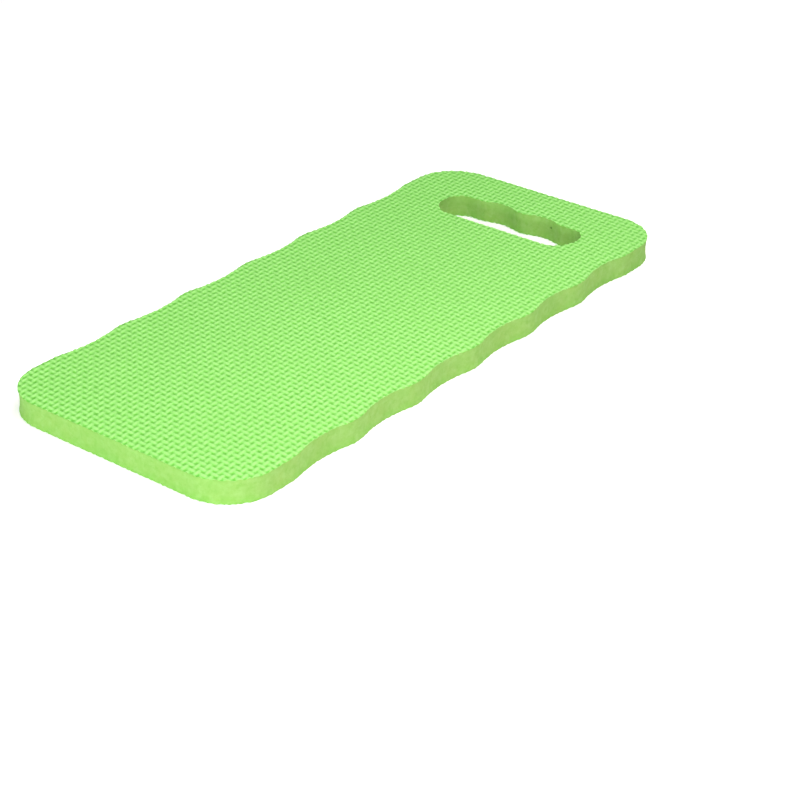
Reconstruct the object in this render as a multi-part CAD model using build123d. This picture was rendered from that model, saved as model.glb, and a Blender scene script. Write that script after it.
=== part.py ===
from build123d import *

import os
from math import atan, degrees, sin

# A slab of closed-cell foam to kneel on, die-cut to one outline through all three of its layers:
# a foam core between two thin face skins. The origin is at the middle of the underside, X runs
# along the pad towards its carrying slot, Y across it and Z up. Sizes are in millimetres.

# The slab
LENGTH = 420.0
WIDTH = 178.0                   # over the crests of the scalloped sides
THICKNESS = 15.5
SKIN_THICKNESS = 2.0            # each face skin
CORNER_RADIUS = 31.0

# The scallops along both long sides
SIDE_PITCH = 55.0               # from crest to crest
SIDE_DEPTH = 3.4                # from crest to hollow
SIDE_HOLLOWS = 6                # on each side, centred on the length
SIDE_CREST_SHARE = 0.34         # of a pitch that is rounded crest, the rest being hollow

# The carrying slot near the +X end
SLOT_INNER_X = 142.0            # straight edge, on the side of the knees
SLOT_OUTER_X = 173.5            # ridges of the finger edge, on the side of the handle strip
SLOT_LENGTH = 105.0             # along Y
SLOT_INNER_RADIUS = 16.5        # corners on the straight edge
SLOT_OUTER_RADIUS = 12.0        # corners on the finger edge
FINGER_PITCH = 33.0             # from ridge to ridge
FINGER_DEPTH = 3.5              # from ridge to hollow
FINGER_HOLLOWS = 2
FINGER_RIDGE_SHARE = 0.40       # of a pitch that is rounded ridge


def add_scallops(start, tangent, pitch, depth, crest_share, hollows):
    """Add shallow hollows, on the right of the tangent, as arcs that join without a corner.

    The run begins and ends on the top of a crest. Returns its last point.
    """
    slope = 2 * atan(2 * depth / pitch)
    crest_radius = crest_share * pitch / 2 / sin(slope)
    hollow_radius = (1 - crest_share) * pitch / 2 / sin(slope)
    turn = degrees(slope)
    point, heading = start, tangent
    for _ in range(hollows):
        for radius, angle in ((crest_radius, -turn), (hollow_radius, 2 * turn), (crest_radius, -turn)):
            arc = JernArc(point, heading, radius, angle)
            point, heading = arc @ 1, arc % 1
    return point


def pad_outline():
    """The outer outline: straight ends, round corners and scalloped long sides."""
    side_run = SIDE_HOLLOWS * SIDE_PITCH
    side_y = WIDTH / 2
    corner_x = LENGTH / 2 - CORNER_RADIUS
    with BuildSketch() as sketch:
        with BuildLine():
            end = Line((-LENGTH / 2, 0), (-LENGTH / 2, side_y - CORNER_RADIUS))
            corner = JernArc(end @ 1, (0, 1), CORNER_RADIUS, -90)
            lead_in = Line(corner @ 1, (-side_run / 2, side_y))
            last_crest = add_scallops(
                lead_in @ 1, (1, 0), SIDE_PITCH, SIDE_DEPTH, SIDE_CREST_SHARE, SIDE_HOLLOWS
            )
            lead_out = Line(last_crest, (corner_x, side_y))
            corner = JernArc(lead_out @ 1, (1, 0), CORNER_RADIUS, -90)
            Line(corner @ 1, (LENGTH / 2, 0))
            mirror(about=Plane.XZ)
        make_face()
    return sketch.sketch


def slot_outline():
    """The carrying slot: a straight inner edge, round corners and a finger-shaped outer edge."""
    end_y = SLOT_LENGTH / 2
    with BuildSketch() as sketch:
        with BuildLine():
            last_ridge = add_scallops(
                (SLOT_OUTER_X, 0), (0, 1), FINGER_PITCH, FINGER_DEPTH, FINGER_RIDGE_SHARE, FINGER_HOLLOWS // 2
            )
            outer = Line(last_ridge, (SLOT_OUTER_X, end_y - SLOT_OUTER_RADIUS))
            corner = JernArc(outer @ 1, (0, 1), SLOT_OUTER_RADIUS, 90)
            end = Line(corner @ 1, (SLOT_INNER_X + SLOT_INNER_RADIUS, end_y))
            corner = JernArc(end @ 1, (-1, 0), SLOT_INNER_RADIUS, 90)
            Line(corner @ 1, (SLOT_INNER_X, 0))
            mirror(about=Plane.XZ)
        make_face()
    return sketch.sketch


def cut_layer(face, low_z, thickness):
    """One layer of the slab, from its underside at low_z."""
    return Pos(0, 0, low_z) * extrude(face, thickness)


die_cut_face = pad_outline() - slot_outline()
layers = {
    "underside_skin": cut_layer(die_cut_face, 0, SKIN_THICKNESS),
    "foam_core": cut_layer(die_cut_face, SKIN_THICKNESS, THICKNESS - 2 * SKIN_THICKNESS),
    "top_skin": cut_layer(die_cut_face, THICKNESS - SKIN_THICKNESS, SKIN_THICKNESS),
}

os.makedirs("parts", exist_ok=True)
for name, layer in layers.items():
    layer.label = name
    export_step(layer, f"parts/{name}.step")
    size = layer.bounding_box().size
    print(f"{name}: {size.X:.2f} x {size.Y:.2f} x {size.Z:.2f} mm, {layer.volume / 1000:.1f} cm3")
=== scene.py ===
import math

import bpy
import numpy as np
from mathutils import Matrix, Vector, geometry, kdtree


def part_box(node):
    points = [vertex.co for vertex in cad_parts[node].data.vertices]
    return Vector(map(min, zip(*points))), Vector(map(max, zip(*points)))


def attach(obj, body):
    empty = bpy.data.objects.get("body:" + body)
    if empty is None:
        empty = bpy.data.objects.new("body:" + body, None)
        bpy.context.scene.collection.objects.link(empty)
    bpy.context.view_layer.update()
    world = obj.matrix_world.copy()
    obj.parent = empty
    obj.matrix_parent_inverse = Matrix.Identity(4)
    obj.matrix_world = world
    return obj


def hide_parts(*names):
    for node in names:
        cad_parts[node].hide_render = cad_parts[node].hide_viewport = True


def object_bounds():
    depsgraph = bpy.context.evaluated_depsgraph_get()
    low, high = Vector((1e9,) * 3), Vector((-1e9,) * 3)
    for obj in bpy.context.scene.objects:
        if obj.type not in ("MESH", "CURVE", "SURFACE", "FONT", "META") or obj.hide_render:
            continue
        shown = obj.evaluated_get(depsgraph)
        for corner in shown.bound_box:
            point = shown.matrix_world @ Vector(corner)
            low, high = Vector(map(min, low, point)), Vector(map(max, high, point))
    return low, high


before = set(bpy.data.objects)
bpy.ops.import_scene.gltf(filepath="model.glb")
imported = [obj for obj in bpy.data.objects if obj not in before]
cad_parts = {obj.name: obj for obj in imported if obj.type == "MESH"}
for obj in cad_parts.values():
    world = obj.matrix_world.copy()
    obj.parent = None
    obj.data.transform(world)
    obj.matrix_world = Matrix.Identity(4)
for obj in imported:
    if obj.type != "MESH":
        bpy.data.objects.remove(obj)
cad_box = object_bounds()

# The pad is one slab of closed-cell foam, die-cut to a scalloped outline: a foam core between two
# skins that are embossed like a basket weave. Each layer is one mesh, and all three share the
# outline, so that their cut edges are flush. Lengths are in metres.

MM = 0.001
rng = np.random.default_rng(7)

# Sizes from the frame
low, high = (np.array(corner) for corner in cad_box)
LENGTH, WIDTH, THICKNESS = high - low
CORE_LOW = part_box("foam_core")[0][2]
CORE_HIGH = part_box("foam_core")[1][2]

# The outline, as in the CAD model
CORNER_RADIUS = 31 * MM
SIDE_PITCH = 55 * MM
SIDE_DEPTH = 3.4 * MM
SIDE_HOLLOWS = 6
SIDE_CREST_SHARE = 0.34          # of a pitch is crest, and the rest is hollow
SLOT_INNER_X = 142 * MM
SLOT_OUTER_X = 173.5 * MM
SLOT_LENGTH = 105 * MM
SLOT_INNER_RADIUS = 16.5 * MM
SLOT_OUTER_RADIUS = 12 * MM
FINGER_PITCH = 33 * MM
FINGER_DEPTH = 3.5 * MM
FINGER_RIDGE_SHARE = 0.40        # of a pitch is ridge, and the rest is hollow

# The embossing: raised grains, laid like the ribbons of a basket weave
WEAVE_PITCH = 4.3 * MM           # from one crossing to the next, both ways
GRAIN_HEIGHT = 0.65 * MM         # above the rim of the pits between them
GRAIN_HALF_LENGTH = 0.66         # of a pitch
GRAIN_HALF_WIDTH = 0.31          # of a pitch
GRAIN_ROUNDING = 0.8             # 0.5 is an ellipsoid, and more is more pointed
PIT_CUP = 0.12                   # how fast the pits deepen towards their middles
PIT_TURN = 5.0                   # how long the pits are, turn about along and across the pad
ROW_WANDER = 0.12                # of a pitch, how far the rows wander from straight
CROSSING_WANDER = 0.06           # of a pitch, how far a crossing is off its place in the row
MEAN_STRENGTH = 0.93             # of the height, how strongly the weave is pressed on average
GRAIN_UNEVENNESS = 0.10          # how much that changes from one grain to the next
WEAR_UNEVENNESS = 0.06           # and how much from one region of the pad to the next
CELLS_PER_PITCH = 5              # mesh squares to one pitch

# The die-cut edge
STEP = WEAVE_PITCH / CELLS_PER_PITCH
EDGE_STEP = 1.15 * STEP          # between vertices along the cut
WALL_HOLLOW = 0.7 * MM           # the cut edge is this much hollow at half its height
CUT_WANDER = 0.10 * MM           # how far the cut strays from the true outline, slowly
CUT_RIPPLE = 0.04 * MM           # and in short ripples
RIM_RADIUS = 0.25 * MM
RIM_ARC_STEPS = 2
RIM_REACH = 5 * MM               # how far in the cut draws the face down
RIM_DRAW = 0.05 * MM             # and by how much
CORE_LEVELS = 9                  # rows of vertices up the core's cut edge
SHARP_ANGLE = math.radians(60)   # a steeper fold than this is shaded as an edge

# One big open pore in the slot's finger edge, its hollow darkened with painted shade
TORN_CELL = (SLOT_OUTER_X + 3.6 * MM, -21.7 * MM, 9.3 * MM)
TORN_CELL_RADIUS = 0.9 * MM


# ---------------------------------------------------------------- outline

class Outline:
    """A closed outline, walked as straight runs and tangent arcs with the foam on the right."""

    def __init__(self, x, y, heading):
        self.at = np.array([x, y])
        self.heading = heading
        self.pieces = []

    def line(self, length):
        self.pieces.append((length, 0.0))
        return self

    def arc(self, radius, turn):
        self.pieces.append((radius * abs(turn), turn))
        return self

    def scallops(self, pitch, depth, crest_share, hollows):
        """Hollows on the right, from crest top to crest top."""
        slope = 2 * math.atan(2 * depth / pitch)
        crest = crest_share * pitch / 2 / math.sin(slope)
        hollow = (1 - crest_share) * pitch / 2 / math.sin(slope)
        for _ in range(hollows):
            self.arc(crest, -slope).arc(hollow, 2 * slope).arc(crest, -slope)
        return self

    def sampled(self, step):
        """Points about a step apart and the outward normal at each."""
        points, normals = [], []
        at, heading = self.at, self.heading
        for length, turn in self.pieces:
            count = max(1, round(length / step))
            for k in range(count):
                part = k / count
                facing = heading + turn * part
                points.append(at + walk(heading, length * part, turn * part))
                normals.append((-math.sin(facing), math.cos(facing)))
            at = at + walk(heading, length, turn)
            heading += turn
        assert np.allclose(at, self.at, atol=1e-7), "the outline doesn't close"
        return np.array(points), np.array(normals)


def walk(heading, length, turn):
    """Where a run of that length gets to while it turns evenly by turn."""
    if turn == 0:
        return length * np.array([math.cos(heading), math.sin(heading)])
    radius = length / turn
    return radius * np.array([
        math.sin(heading + turn) - math.sin(heading),
        math.cos(heading) - math.cos(heading + turn),
    ])


def pad_outline():
    lead = LENGTH / 2 - CORNER_RADIUS - SIDE_HOLLOWS * SIDE_PITCH / 2
    outline = Outline(-LENGTH / 2 + CORNER_RADIUS, WIDTH / 2, 0)
    for _ in range(2):
        outline.line(lead).scallops(SIDE_PITCH, SIDE_DEPTH, SIDE_CREST_SHARE, SIDE_HOLLOWS)
        outline.line(lead).arc(CORNER_RADIUS, -math.pi / 2)
        outline.line(WIDTH - 2 * CORNER_RADIUS).arc(CORNER_RADIUS, -math.pi / 2)
    return outline.sampled(EDGE_STEP)


def slot_outline():
    quarter = math.pi / 2
    end_run = SLOT_OUTER_X - SLOT_INNER_X - SLOT_INNER_RADIUS - SLOT_OUTER_RADIUS
    past_ridge = SLOT_LENGTH / 2 - SLOT_OUTER_RADIUS - FINGER_PITCH
    finger = (FINGER_PITCH, FINGER_DEPTH, FINGER_RIDGE_SHARE, 1)
    outline = Outline(SLOT_OUTER_X, 0, quarter)
    outline.scallops(*finger).line(past_ridge).arc(SLOT_OUTER_RADIUS, quarter)
    outline.line(end_run).arc(SLOT_INNER_RADIUS, quarter)
    outline.line(SLOT_LENGTH - 2 * SLOT_INNER_RADIUS).arc(SLOT_INNER_RADIUS, quarter)
    outline.line(end_run).arc(SLOT_OUTER_RADIUS, quarter).line(past_ridge).scallops(*finger)
    return outline.sampled(EDGE_STEP)


OUTLINES = (pad_outline(), slot_outline())
RING_SIZES = [len(points) for points, _ in OUTLINES]
RING_TOTAL = sum(RING_SIZES)


def insets_of(places):
    """How far inside the cut edge each place is, negative outside."""
    points = np.concatenate([points for points, _ in OUTLINES])
    normals = np.concatenate([normals for _, normals in OUTLINES])
    tree = kdtree.KDTree(len(points))
    for k, (x, y) in enumerate(points):
        tree.insert((x, y, 0), k)
    tree.balance()
    nearest = np.array([tree.find((x, y, 0))[1] for x, y in places])
    return -((places - points[nearest]) * normals[nearest]).sum(1)


# ---------------------------------------------------------------- relief

def eased(t):
    """From 0 to 1 with a level start and end."""
    return t * t * (3 - 2 * t)


class Drift:
    """Smooth random values over the plane, from -1 to 1, with features about a size across."""

    COUNT = 96       # random values each way, and then they repeat
    MIDDLE = 40      # the one at the middle of the pad

    def __init__(self, size):
        self.size = size
        self.values = rng.uniform(-1, 1, (self.COUNT, self.COUNT))

    def __call__(self, x, y):
        u = x / self.size + self.MIDDLE
        v = y / self.size + self.MIDDLE
        i = np.floor(u).astype(int)
        j = np.floor(v).astype(int)
        a, b = eased(u - i), eased(v - j)
        i, j = i % (self.COUNT - 1), j % (self.COUNT - 1)
        t = self.values
        near = t[i, j] * (1 - a) + t[i + 1, j] * a
        far = t[i, j + 1] * (1 - a) + t[i + 1, j + 1] * a
        return near * (1 - b) + far * b


class Weave:
    """The embossed face: height below the tallest grain, for points of the plane."""

    def __init__(self):
        self.row_x = Drift(70 * MM)
        self.row_y = Drift(60 * MM)
        self.crossing_x = Drift(WEAVE_PITCH)
        self.crossing_y = Drift(WEAVE_PITCH)
        self.grain_size = Drift(WEAVE_PITCH)
        self.wear = Drift(38 * MM)

    def lattice(self, x, y):
        """Where a point is on the lattice of crossings, counted in pitches."""
        off_u = ROW_WANDER * self.row_x(x, y)
        off_v = ROW_WANDER * self.row_y(x, y)
        u = x / WEAVE_PITCH + off_u + CROSSING_WANDER * self.crossing_x(x, y)
        v = y / WEAVE_PITCH + off_v + CROSSING_WANDER * self.crossing_y(x, y)
        return u, v

    def pit_turn(self, u, v):
        """What makes the pits long: it lifts two sides of each and lowers the other two."""
        p = u - np.floor(u) - 0.5
        q = v - np.floor(v) - 0.5
        side = 2 * ((np.floor(u) + np.floor(v)) % 2) - 1
        return PIT_TURN * side * (p * p - q * q) * (1 - 4 * p * p) * (1 - 4 * q * q)

    def __call__(self, x, y):
        u, v = self.lattice(x, y)
        i, j = np.rint(u), np.rint(v)
        turned = (i + j) % 2 == 1
        along = np.where(turned, v - j, u - i)
        across = np.abs(np.where(turned, u - i, v - j))
        own = 1 - (along / GRAIN_HALF_LENGTH) ** 2 - (across / GRAIN_HALF_WIDTH) ** 2
        tip = 1 - ((1 - across) / GRAIN_HALF_LENGTH) ** 2 - (along / GRAIN_HALF_WIDTH) ** 2
        highest = np.maximum(own, tip) + self.pit_turn(u, v)
        rise = np.maximum(highest, 0) ** GRAIN_ROUNDING + PIT_CUP * np.minimum(highest, 0)
        strength = MEAN_STRENGTH + GRAIN_UNEVENNESS * self.grain_size(x, y)
        strength = strength + WEAR_UNEVENNESS * self.wear(x, y)
        return GRAIN_HEIGHT * (rise - 1) * strength


# ---------------------------------------------------------------- meshes

# How far in the closed rows of vertices lie: round the rim, and two more on the face
RIM_ANGLES = np.linspace(math.pi / 2, 0, RIM_ARC_STEPS + 1)
RIM_INSETS = np.concatenate([RIM_RADIUS * (1 - np.sin(RIM_ANGLES)), [0.9 * MM, 1.6 * MM]])
INNER_INSET = RIM_INSETS[-1]
GRID_CLEARANCE = 0.45 * STEP     # between the innermost row and the square mesh

SAME_PLACE = 1e-9                # the triangulation takes points this close as one
FACE, CUT = 0, 1                 # the material slots of a skin


def rim_drop(inset):
    """How far below the face the foam is at that inset: the round rim, and the pull of the cut."""
    t = np.clip(1 - inset / RIM_RADIUS, 0, 1)
    pull = np.exp(-3 * np.maximum(inset, 0) / RIM_REACH)     # 5 percent is left at the full reach
    return RIM_RADIUS * (1 - np.sqrt(1 - t * t)) + RIM_DRAW * pull


def wall_inset(z):
    """How far inside the outline the cut edge is at that height."""
    return WALL_HOLLOW * (1 - (2 * z / THICKNESS - 1) ** 2)


cut_wander, cut_ripple = Drift(22 * MM), Drift(6 * MM)
CUT_START = (0.85 * THICKNESS, -0.65 * THICKNESS)     # the random values that the middle gets


def cut_shift(points):
    """How far the cut strays outwards from the true outline."""
    x, y = (points + CUT_START).T
    return CUT_WANDER * cut_wander(x, y) + CUT_RIPPLE * cut_ripple(x, y)


def ring(outline, inset):
    """One closed row of places at that inset, as x and y."""
    points, normals = outline
    return points + normals * (cut_shift(points) - inset)[:, None]


def loop_edges(rings):
    """The edges of closed rows of places that are numbered on from row to row."""
    edges = []
    start = 0
    for row in rings:
        edges += [(start + k, start + (k + 1) % len(row)) for k in range(len(row))]
        start += len(row)
    return edges


def inner_grid():
    """The square mesh inside the rim: its points, their insets, and which squares are used."""
    half_x, half_y = (int(size / 2 / STEP) for size in (LENGTH, WIDTH))
    gx, gy = np.meshgrid(
        np.arange(-half_x, half_x + 1) * STEP, np.arange(-half_y, half_y + 1) * STEP, indexing="ij"
    )
    points = np.column_stack([gx.ravel(), gy.ravel()])
    inset = insets_of(points).reshape(gx.shape)
    inside = inset > INNER_INSET + GRID_CLEARANCE
    used = inside[:-1, :-1] & inside[1:, :-1] & inside[:-1, 1:] & inside[1:, 1:]
    return points.reshape(*gx.shape, 2), inset, used


def border_of(used):
    """The border of the used squares, as pairs of grid places."""
    padded = np.pad(used, 1)
    pairs = []
    for i, j in np.argwhere(padded[1:, 1:-1] != padded[:-1, 1:-1]):
        pairs.append(((i, j), (i, j + 1)))
    for i, j in np.argwhere(padded[1:-1, 1:] != padded[1:-1, :-1]):
        pairs.append(((i, j), (i + 1, j)))
    return pairs


def inside_loops(triangles, edges):
    """Whether each triangle is inside the loops: that changes with every loop edge crossed."""
    sides = [
        [frozenset(pair) for pair in ((a, b), (b, c), (c, a))] for a, b, c in triangles.tolist()
    ]
    beside = {}
    for which, own in enumerate(sides):
        for side in own:
            beside.setdefault(side, []).append(which)
    loops = {frozenset(edge) for edge in edges}
    first, = next(both for both in beside.values() if len(both) == 1)
    outer_side = next(side for side in sides[first] if len(beside[side]) == 1)
    inside = {first: outer_side in loops}
    waiting = [first]
    while waiting:
        here = waiting.pop()
        for side in sides[here]:
            for there in beside[side]:
                if there not in inside:
                    inside[there] = inside[here] ^ (side in loops)
                    waiting.append(there)
    return [inside[k] for k in range(len(triangles))]


def triangulated(points, edges):
    """Triangles of the points inside the closed loops of edges, leaving out the holes."""
    corners = [Vector(point) for point in points]
    _, _, faces, sources, _, _ = geometry.delaunay_2d_cdt(corners, edges, [], 0, SAME_PLACE)
    triangles = np.array([[sources[k][0] for k in face] for face in faces])
    triangles = triangles[inside_loops(triangles, edges)]
    a, b, c = (points[triangles[:, k]] for k in range(3))
    ab, ac = b - a, c - a
    clockwise = ab[:, 0] * ac[:, 1] - ab[:, 1] * ac[:, 0] < 0
    triangles[clockwise] = triangles[clockwise][:, ::-1]
    return triangles


def face_plan():
    """The flat pattern of a face inside its rim: places, insets, squares and triangles.

    The first places are those of the innermost row of each outline, in order.
    """
    rings = [ring(outline, INNER_INSET) for outline in OUTLINES]
    grid, grid_inset, used = inner_grid()
    corners = np.zeros(grid_inset.shape, bool)
    for di in (0, 1):
        for dj in (0, 1):
            corners[di:di + used.shape[0], dj:dj + used.shape[1]] |= used
    index = np.full(grid_inset.shape, -1)
    index[corners] = np.arange(corners.sum()) + RING_TOTAL
    places = np.concatenate([*rings, grid[corners]])
    insets = np.concatenate([np.full(RING_TOTAL, INNER_INSET), grid_inset[corners]])
    squares = np.column_stack([
        index[:-1, :-1][used], index[1:, :-1][used], index[1:, 1:][used], index[:-1, 1:][used]
    ])
    border = [(index[a], index[b]) for a, b in border_of(used)] + loop_edges(rings)
    named = sorted({k for pair in border for k in pair})
    local = {k: n for n, k in enumerate(named)}
    band = triangulated(places[named], [(local[a], local[b]) for a, b in border])
    return places, insets, squares, np.array(named)[band]


def cap_triangles():
    """A plain cover of the die-cut outline, as triangles of the places of both outlines."""
    rings = [ring(outline, 0) for outline in OUTLINES]
    return triangulated(np.concatenate(rings), loop_edges(rings))


PLAN = face_plan()
CAP = cap_triangles()


def both_rings(inset, z_of):
    """Both outlines' vertices at that inset, z given by a function of x and y."""
    rows = []
    for outline in OUTLINES:
        x, y = ring(outline, inset).T
        rows.append(np.column_stack([x, y, z_of(x, y)]))
    return np.concatenate(rows)


def level_rings(z):
    """Both outlines' vertices on the cut edge at one height."""
    return both_rings(wall_inset(z), lambda x, y: np.full_like(x, z))


def both_strips(first, second):
    """Quads between two rows of both outlines, which start at those vertices."""
    quads = []
    for size in RING_SIZES:
        k = np.arange(size)
        n = (k + 1) % size
        quads.append(np.column_stack([first + k, first + n, second + n, second + k]))
        first, second = first + size, second + size
    return np.concatenate(quads)


def make_mesh(name, vertices, face_groups, materials):
    """A smooth mesh object. Each face group is (faces, material slot)."""
    mesh = bpy.data.meshes.new(name)
    faces = [face for group, _ in face_groups for face in group.tolist()]
    mesh.from_pydata(vertices.tolist(), [], faces)
    which = np.concatenate([np.full(len(group), slot) for group, slot in face_groups])
    for material in materials:
        mesh.materials.append(material)
    mesh.polygons.foreach_set("material_index", which.astype(np.int32))
    mesh.polygons.foreach_set("use_smooth", np.ones(len(faces), bool))
    mesh.update()
    mesh.validate()
    mesh.set_sharp_from_angle(angle=SHARP_ANGLE)
    piece = bpy.data.objects.new(name, mesh)
    bpy.context.scene.collection.objects.link(piece)
    return piece


def embossed_skin(name, weave, up, materials):
    """A face skin: the embossed face, its round rim, a strip of cut edge and a plain back.

    It is built facing up and turned over for the underside.
    """
    places, insets, squares, band = PLAN

    def height(x, y, inset):
        return THICKNESS - rim_drop(inset) + weave(x, y)

    rows = [level_rings(CORE_HIGH if up else THICKNESS - CORE_LOW)]
    for inset in RIM_INSETS[:-1]:
        rows.append(both_rings(inset, lambda x, y: height(x, y, inset)))
    inner = np.column_stack([places, height(places[:, 0], places[:, 1], insets)])
    vertices = np.concatenate([*rows, inner])
    starts = [k * RING_TOTAL for k in range(len(rows) + 1)]
    strips = [both_strips(b, a) for a, b in zip(starts, starts[1:])]
    groups = [
        (np.concatenate(strips[:2]), CUT),
        (np.concatenate(strips[2:]), FACE),
        (squares + starts[-1], FACE),
        (band + starts[-1], FACE),
        (CAP[:, ::-1], CUT),
    ]
    lattice = weave.lattice(vertices[:, 0], vertices[:, 1])
    if not up:
        vertices[:, 2] = THICKNESS - vertices[:, 2]
        groups = [(group[:, ::-1], slot) for group, slot in groups]
    piece = make_mesh(name, vertices, groups, materials)
    for attribute_name, values in zip(("weave_u", "weave_v"), lattice):
        attribute = piece.data.attributes.new(attribute_name, "FLOAT", "POINT")
        attribute.data.foreach_set("value", values.astype(np.float32))
    return piece


def cut_core(name, material):
    """The core: the cut edge of the foam, with a plain face above and below."""
    rows = [level_rings(z) for z in np.linspace(CORE_LOW, CORE_HIGH, CORE_LEVELS)]
    starts = [k * RING_TOTAL for k in range(len(rows))]
    strips = [both_strips(b, a) for a, b in zip(starts, starts[1:])]
    faces = [(np.concatenate(strips), 0), (CAP[:, ::-1], 0), (CAP + starts[-1], 0)]
    return make_mesh(name, np.concatenate(rows), faces, (material,))


# ---------------------------------------------------------------- materials

class Nodes:
    """A material's node tree, built by short calls."""

    def __init__(self, name):
        self.material = bpy.data.materials.new(name)
        self.material.use_nodes = True
        self.tree = self.material.node_tree
        self.shader = self.tree.nodes["Principled BSDF"]
        self.place = self.add("ShaderNodeTexCoord").outputs["Object"]

    def add(self, kind, **settings):
        node = self.tree.nodes.new(kind)
        for key, value in settings.items():
            setattr(node, key, value)
        return node

    def link(self, source, target):
        self.tree.links.new(source, target)

    def noise(self, per_metre, detail=3.0, roughness=0.55, stretch=None):
        """Noise of that many features to the metre, from 0 to 1."""
        place = self.place
        if stretch:
            mapping = self.add("ShaderNodeMapping")
            mapping.inputs["Scale"].default_value = stretch
            self.link(self.place, mapping.inputs["Vector"])
            place = mapping.outputs["Vector"]
        node = self.add("ShaderNodeTexNoise")
        node.inputs["Scale"].default_value = per_metre
        node.inputs["Detail"].default_value = detail
        node.inputs["Roughness"].default_value = roughness
        self.link(place, node.inputs["Vector"])
        return node.outputs["Fac"]

    def pores(self, per_metre, radius):
        """Small round pits, 1 in a pit and 0 between. The radius is a share of their spacing."""
        node = self.add("ShaderNodeTexVoronoi")
        node.inputs["Scale"].default_value = per_metre
        self.link(self.place, node.inputs["Vector"])
        return self.spread(node.outputs["Distance"], radius, radius * 0.4, 0, 1)

    def spot(self, centre, radius):
        """1 near a point of the pad, and 0 beyond the radius."""
        node = self.add("ShaderNodeVectorMath", operation="DISTANCE")
        self.link(self.place, node.inputs[0])
        node.inputs[1].default_value = centre
        return self.spread(node.outputs["Value"], radius, radius / 2, 0, 1)

    def spread(self, value, from_low, from_high, to_low, to_high):
        """The value, taken evenly from one range to another and held at its ends."""
        node = self.add("ShaderNodeMapRange")
        node.inputs["From Min"].default_value = from_low
        node.inputs["From Max"].default_value = from_high
        node.inputs["To Min"].default_value = to_low
        node.inputs["To Max"].default_value = to_high
        self.link(value, node.inputs["Value"])
        return node.outputs["Result"]

    def math(self, operation, a, b=0):
        node = self.add("ShaderNodeMath", operation=operation)
        for socket, value in zip(node.inputs, (a, b)):
            if isinstance(value, (int, float)):
                socket.default_value = value
            else:
                self.link(value, socket)
        return node.outputs["Value"]

    def mix(self, factor, a, b):
        node = self.add("ShaderNodeMix", data_type="RGBA")
        for socket, value in ((node.inputs[0], factor), (node.inputs[6], a), (node.inputs[7], b)):
            if isinstance(value, tuple):
                socket.default_value = (*value, 1.0)
            else:
                self.link(value, socket)
        return node.outputs[2]

    def tinted(self, colour, tint, most, pattern, start, full):
        """The colour with a tint, from none where the pattern is at start to most at full."""
        return self.mix(self.spread(pattern, start, full, 0, most), colour, tint)

    def bump(self, height, distance, strength, under=None):
        node = self.add("ShaderNodeBump")
        node.inputs["Distance"].default_value = distance
        node.inputs["Strength"].default_value = strength
        self.link(height, node.inputs["Height"])
        if under is not None:
            self.link(under, node.inputs["Normal"])
        return node.outputs["Normal"]

    def finish(self, colour, roughness, normal, **constants):
        self.link(colour, self.shader.inputs["Base Color"])
        self.link(roughness, self.shader.inputs["Roughness"])
        self.link(normal, self.shader.inputs["Normal"])
        for key, value in constants.items():
            self.shader.inputs[key.replace("_", " ")].default_value = value
        return self.material


def lattice_nodes(m):
    """The two lattice coordinates of the weave, which the skins carry."""
    nodes = [m.add("ShaderNodeAttribute", attribute_name=name) for name in ("weave_u", "weave_v")]
    return [node.outputs["Fac"] for node in nodes]


def cell_chance(m, rounding):
    """A random number from 0 to 1 for every cell of the lattice."""
    cell = m.add("ShaderNodeCombineXYZ")
    for value, socket in zip(lattice_nodes(m), cell.inputs):
        m.link(m.math(rounding, value), socket)
    chance = m.add("ShaderNodeTexWhiteNoise", noise_dimensions="3D")
    m.link(cell.outputs["Vector"], chance.inputs["Vector"])
    return chance.outputs["Value"]


def grain_level(m):
    """The embossing in the shader, as Weave works it out: 1 on a ridge and below 0 in a pit."""
    u, v = lattice_nodes(m)
    i, j = m.math("ROUND", u), m.math("ROUND", v)
    turned = m.math("PINGPONG", m.math("ADD", i, j), 1)
    du, dv = m.math("SUBTRACT", u, i), m.math("SUBTRACT", v, j)
    swap = m.math("MULTIPLY", turned, m.math("SUBTRACT", dv, du))
    along = m.math("ADD", du, swap)
    across = m.math("ABSOLUTE", m.math("SUBTRACT", dv, swap))

    def level(long_way, short_way):
        squares = [
            m.math("POWER", m.math("DIVIDE", m.math("ABSOLUTE", way), half), 2)
            for way, half in ((long_way, GRAIN_HALF_LENGTH), (short_way, GRAIN_HALF_WIDTH))
        ]
        return m.math("SUBTRACT", 1, m.math("ADD", *squares))

    own = level(along, across)
    tip = level(m.math("SUBTRACT", 1, across), along)
    return m.math("ADD", m.math("MAXIMUM", own, tip), pit_turn(m, u, v))


def pit_turn(m, u, v):
    """What Weave.pit_turn gives."""
    cell = m.math("PINGPONG", m.math("ADD", m.math("FLOOR", u), m.math("FLOOR", v)), 1)
    side = m.math("SUBTRACT", m.math("MULTIPLY", cell, 2 * PIT_TURN), PIT_TURN)
    squares = []
    for place in (u, v):
        off_middle = m.math("SUBTRACT", m.math("FRACT", place), 0.5)
        squares.append(m.math("MULTIPLY", off_middle, off_middle))
    for square in squares:
        side = m.math("MULTIPLY", side, m.math("SUBTRACT", 1, m.math("MULTIPLY", square, 4)))
    return m.math("MULTIPLY", side, m.math("SUBTRACT", *squares))


# Colours are linear red, green and blue
# The grain foot and pit colours are painted shade: the skin darkens from the grain tops down into
# the pits.
GRAIN_TOP = (0.305, 0.80, 0.185)
GRAIN_FOOT_SHADE = (0.135, 0.55, 0.053)
PIT_SHADE = (0.085, 0.43, 0.030)
DULL_GRAIN = (0.216, 0.67, 0.115)
DULL_REGION = (0.20, 0.63, 0.10)
PALE_FLECK = (0.34, 0.82, 0.23)
# The skin pore colour is painted shade in the pores.
SKIN_PORE_SHADE = (0.11, 0.44, 0.05)

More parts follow.
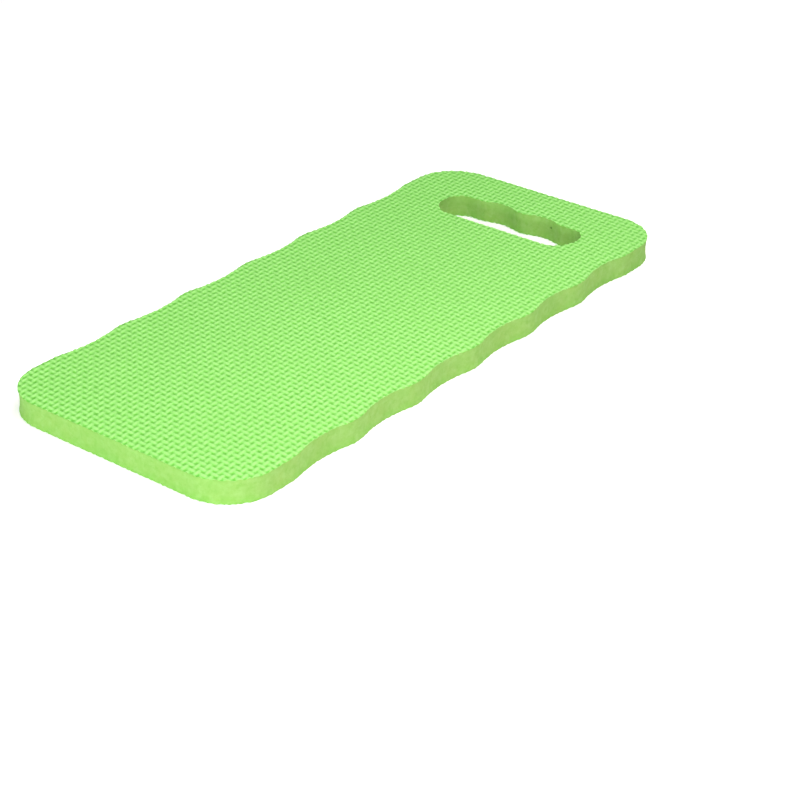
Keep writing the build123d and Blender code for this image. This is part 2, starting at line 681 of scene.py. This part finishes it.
CUT_FACE = (0.200, 0.460, 0.086)
# The colour of the cut edge near the floor is painted bounce light.
CUT_LOW_BOUNCE_LIGHT = (0.160, 0.475, 0.060)
CUT_UNDER_RIM = (0.155, 0.43, 0.060)
DRAG_MARK = (0.165, 0.41, 0.062)
SLICE_MARK = (0.22, 0.49, 0.100)
OLIVE_REGION = (0.23, 0.45, 0.080)
PALE_BLOTCH = (0.245, 0.52, 0.125)
DEEP_BLOTCH = (0.135, 0.40, 0.045)
CUT_FLECK = (0.28, 0.56, 0.15)
# The cut pore colour is painted shade in the pores.
CUT_PORE_SHADE = (0.08, 0.28, 0.03)
# The torn cell's colour is painted shade in its hollow.
TORN_CELL_SHADE = (0.03, 0.14, 0.015)

FLOOR_WHITE = (0.92, 0.92, 0.92)
FLOOR_SHADE = (0.9062, 0.9062, 0.9062)

MATT = 0.12                      # specular level of the foam
ALONG_EDGE = (60, 60, 900)       # features to the metre of marks that lie along the cut edge
UP_EDGE = (700, 700, 60)         # and of marks that stand up it


def skin_foam():
    """The embossed skin: matt foam, paler on the grains and darker in the pits between them, which
    is painted shade.
    """
    m = Nodes("foam_skin_embossed")
    level = grain_level(m)
    # Painted shade: darker from the grain tops down to their feet, and darker still in the pits,
    # by a random amount from cell to cell.
    colour = m.tinted(GRAIN_FOOT_SHADE, GRAIN_TOP, most=1, pattern=level, start=-0.8, full=0.75)
    depth = m.spread(level, -0.1, -1.2, 0, 1)
    cell_shade_depth = m.spread(cell_chance(m, "FLOOR"), 0, 1, 0.25, 1.0)
    colour = m.mix(m.math("MULTIPLY", depth, cell_shade_depth), colour, PIT_SHADE)
    for tint, most, pattern, start, full in (
        (DULL_GRAIN, 0.22, cell_chance(m, "ROUND"), 0.2, 1),
        (DULL_REGION, 0.20, m.noise(28, 4), 0.35, 0.70),
        (PALE_FLECK, 0.20, m.noise(900, 2), 0.45, 0.72),
    ):
        colour = m.tinted(colour, tint, most, pattern, start, full)
    # Painted shade: the small pores of the skin are darkened.
    pores = m.pores(2400, radius=0.30)
    colour = m.mix(m.math("MULTIPLY", pores, 0.25), colour, SKIN_PORE_SHADE)
    roughness = m.spread(m.noise(260, 3), 0.3, 0.7, 0.52, 0.72)
    normal = m.bump(level, GRAIN_HEIGHT, 0.15)
    normal = m.bump(m.noise(1500, 4, 0.6), 0.12 * MM, 0.45, normal)
    normal = m.bump(pores, -0.06 * MM, 0.4, normal)
    return m.finish(colour, roughness, normal, Specular_IOR_Level=MATT)


def cut_foam():
    """The die-cut edge: sliced cells, faint drag marks of the die and a few open pores darkened
    with painted shade, with painted bounce light that makes it greener towards the floor.
    """
    m = Nodes("foam_cut_edge")
    separate = m.add("ShaderNodeSeparateXYZ")
    m.link(m.place, separate.inputs["Vector"])
    z = m.math("ADD", separate.outputs["Z"], m.math("MULTIPLY", m.noise(90, 3), 2 * MM))
    blotches = m.noise(240, 3, 0.6)
    # Painted bounce light: the cut edge is more saturated green towards the floor, up to about 7
    # mm.
    colour = m.tinted(
        CUT_LOW_BOUNCE_LIGHT, CUT_FACE, most=1, pattern=z, start=2.0 * MM, full=7.0 * MM
    )
    for tint, most, pattern, start, full in (
        (CUT_UNDER_RIM, 0.50, z, 14.2 * MM, 15.4 * MM),
        (DRAG_MARK, 0.35, m.noise(1.0, 3, 0.6, ALONG_EDGE), 0.30, 0.75),
        (SLICE_MARK, 0.35, m.noise(1.0, 2, 0.5, UP_EDGE), 0.35, 0.75),
        (OLIVE_REGION, 0.45, m.noise(60, 4), 0.40, 0.70),
        (PALE_BLOTCH, 0.60, blotches, 0.45, 0.70),
        (DEEP_BLOTCH, 0.60, m.noise(310, 3, 0.6), 0.50, 0.75),
        (CUT_FLECK, 0.35, m.noise(2600, 2), 0.50, 0.75),
    ):
        colour = m.tinted(colour, tint, most, pattern, start, full)
    # Painted shade: the open pores of the cut edge are darkened.
    pores = m.pores(420, radius=0.08)
    colour = m.mix(m.math("MULTIPLY", pores, 0.4), colour, CUT_PORE_SHADE)
    # Painted shade: the torn cell's hollow is painted nearly black.
    torn_cell = m.spot(TORN_CELL, TORN_CELL_RADIUS)
    colour = m.mix(m.math("MULTIPLY", torn_cell, 0.85), colour, TORN_CELL_SHADE)
    roughness = m.spread(m.noise(400, 3), 0.3, 0.7, 0.72, 0.90)
    normal = m.bump(m.noise(2200, 4, 0.65), 0.10 * MM, 0.5)
    normal = m.bump(m.noise(1.0, 2, 0.5, ALONG_EDGE), 0.05 * MM, 0.15, normal)
    normal = m.bump(blotches, 0.30 * MM, 0.35, normal)
    normal = m.bump(pores, -0.15 * MM, 0.5, normal)
    normal = m.bump(torn_cell, -0.8 * MM, 0.8, normal)
    return m.finish(colour, roughness, normal, Specular_IOR_Level=MATT)


def glowing_white(glow):
    """A nearly even white that also gives off a little light, like a light table."""
    m = Nodes("floor_white")
    m.shader.inputs["Emission Color"].default_value = (1, 1, 1, 1)
    tone = m.tinted(FLOOR_WHITE, FLOOR_SHADE, most=1, pattern=m.noise(3, 2), start=0.4, full=0.6)
    roughness = m.spread(m.noise(5, 2), 0.4, 0.6, 0.90, 0.92)
    normal = m.bump(m.noise(40, 2), 0.1 * MM, 0.1)
    return m.finish(tone, roughness, normal, Emission_Strength=glow)


# ---------------------------------------------------------------- the pad

face_material, cut_material = skin_foam(), cut_foam()

top = embossed_skin("top_skin_embossed", Weave(), True, (face_material, cut_material))
core = cut_core("foam_core_cut", cut_material)
under = embossed_skin("underside_skin_embossed", Weave(), False, (face_material, cut_material))

for piece, node, slot_name in (
    (top, "top_skin", "face_skin"),
    (core, "foam_core", "cut_foam"),
    (under, "underside_skin", "face_skin"),
):
    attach(piece, "root")
    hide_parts(node)


# ---------------------------------------------------------------- stage, light and camera

FLOOR_REACH = 6.0                # from the middle to each side
FLOOR_GLOW = 0.33
WORLD_STRENGTH = 0.22
LIGHT_TARGET = (-0.08, -0.06, 0.00)      # the near left part of the pad
SOFTBOXES = (
    # name, place, size, watts, colour
    ("near_softbox", (-0.42, -0.24, 0.50), 0.50, 2.2, (1.00, 0.80, 0.95)),
    ("edge_softbox", (-0.04, -0.40, 0.46), 0.40, 2.9, (1.00, 0.62, 0.92)),
    ("far_softbox", (1.20, 0.20, 1.20), 1.00, 15.5, (1.00, 1.00, 0.94)),
    ("left_softbox", (-0.75, 0.05, 0.35), 0.50, 0.7, (1.00, 1.00, 1.00)),
    ("left_floor_softbox", (-1.40, -0.10, 0.17), 0.32, 9.4, (0.96, 0.88, 1.00)),
    ("front_floor_softbox", (-0.45, -0.60, 0.16), 0.30, 0.8, (1.00, 0.75, 0.95)),
)

CAMERA_PLACE = (-0.8641, -0.6919, 0.5622)
CAMERA_TARGET = (-0.07958, -0.09469, THICKNESS)
CAMERA_ROLL = math.radians(1.02)
CAMERA_LENS = 92.12              # mm
CAMERA_SENSOR = 36.0             # mm across


def turned_to(place, target):
    """The turn of a light or camera at that place that looks at the target."""
    return (Vector(target) - Vector(place)).to_track_quat("-Z", "Y")


def add_floor():
    signs = ((-1, -1), (1, -1), (1, 1), (-1, 1))
    corners = [(x * FLOOR_REACH, y * FLOOR_REACH, 0) for x, y in signs]
    mesh = bpy.data.meshes.new("floor")
    mesh.from_pydata(corners, [], [(0, 1, 2, 3)])
    mesh.materials.append(glowing_white(FLOOR_GLOW))
    floor = bpy.data.objects.new("floor", mesh)
    bpy.context.scene.collection.objects.link(floor)


def add_softbox(name, place, size, power, colour):
    """A square area light that looks at the pad."""
    light = bpy.data.lights.new(name, "AREA")
    light.shape = "SQUARE"
    light.size = size
    light.energy = power
    light.color = colour
    lamp = bpy.data.objects.new(name, light)
    lamp.location = place
    lamp.rotation_euler = turned_to(place, LIGHT_TARGET).to_euler()
    bpy.context.scene.collection.objects.link(lamp)


def add_world():
    """A weak even white light from all around."""
    world = bpy.data.worlds.new("studio")
    world.use_nodes = True
    background = world.node_tree.nodes["Background"]
    background.inputs["Color"].default_value = (1, 1, 1, 1)
    background.inputs["Strength"].default_value = WORLD_STRENGTH
    bpy.context.scene.world = world


def add_camera():
    """A long lens from the front left corner, a little above the pad."""
    data = bpy.data.cameras.new("camera")
    data.sensor_width = CAMERA_SENSOR
    data.lens = CAMERA_LENS
    camera = bpy.data.objects.new("camera", data)
    turn = turned_to(CAMERA_PLACE, CAMERA_TARGET).to_matrix().to_4x4()
    roll = Matrix.Rotation(CAMERA_ROLL, 4, "Z")
    camera.matrix_world = Matrix.Translation(CAMERA_PLACE) @ turn @ roll
    bpy.context.scene.collection.objects.link(camera)
    bpy.context.scene.camera = camera


add_floor()
for softbox in SOFTBOXES:
    add_softbox(*softbox)
add_world()
add_camera()
bpy.context.scene.view_settings.view_transform = "Standard"
